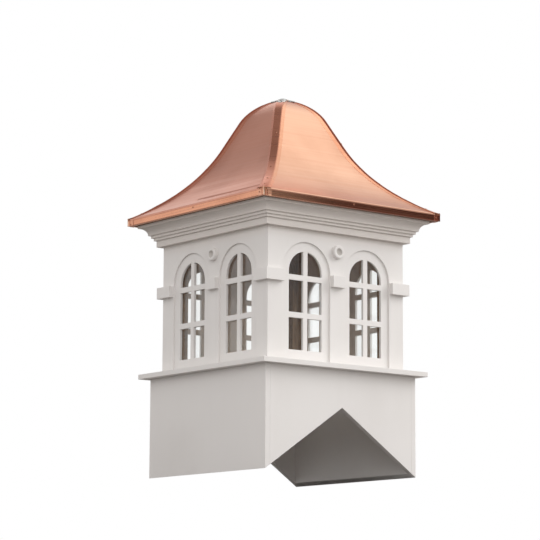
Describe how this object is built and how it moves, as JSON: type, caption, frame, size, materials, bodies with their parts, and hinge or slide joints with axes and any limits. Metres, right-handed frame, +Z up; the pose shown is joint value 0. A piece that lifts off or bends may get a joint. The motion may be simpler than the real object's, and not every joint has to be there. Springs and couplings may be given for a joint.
{
  "type": "barn cupola",
  "caption": "Square white barn cupola with a saddle-cut base, shelf, arched windows in a pilastered tower, coved cornice and a copper bell roof.",
  "frame": {"origin": "centre of the base in plan, at the height of its lowest edge", "axes": "+Z up, -Y out of the front face, the saddle cut and the barn's ridge along Y"},
  "size_m": [0.761, 0.761, 1.298],
  "materials": {
    "paint": "white cellular PVC board with a satin painted face",
    "glass": "clear flat glazing sheet",
    "timber": "bare sawn softwood and plywood",
    "copper": "weathered sheet copper with light brushing and brown tarnish",
    "zinc": "galvanized steel tube"
  },
  "bodies": {
    "root": {"base_front": "paint", "base_right": "paint", "base_back": "paint", "base_left": "paint", "shelf_front": "paint", "shelf_right": "paint", "shelf_back": "paint", "shelf_left": "paint", "arcade_front": "paint", "arcade_right": "paint", "arcade_back": "paint", "arcade_left": "paint", "sash_front": "paint", "sash_right": "paint", "sash_back": "paint", "sash_left": "paint", "wall_posts": "timber", "glazing": "glass", "corner_imposts": "paint", "mid_imposts": "paint", "roundels": "paint", "frieze_front": "paint", "frieze_right": "paint", "frieze_back": "paint", "frieze_left": "paint", "crown_front": "paint", "crown_right": "paint", "crown_back": "paint", "crown_left": "paint", "roof_curb": "timber", "hip_ribs": "timber", "peak_block": "timber", "roof_front": "copper", "roof_right": "copper", "roof_back": "copper", "roof_left": "copper", "hip_cap_front_right": "copper", "hip_cap_back_right": "copper", "hip_cap_back_left": "copper", "hip_cap_front_left": "copper", "eave_band_front": "copper", "eave_band_right": "copper", "eave_band_back": "copper", "eave_band_left": "copper", "peak_cap": "copper", "rod_socket": "zinc"}
  },
  "joints": []
}
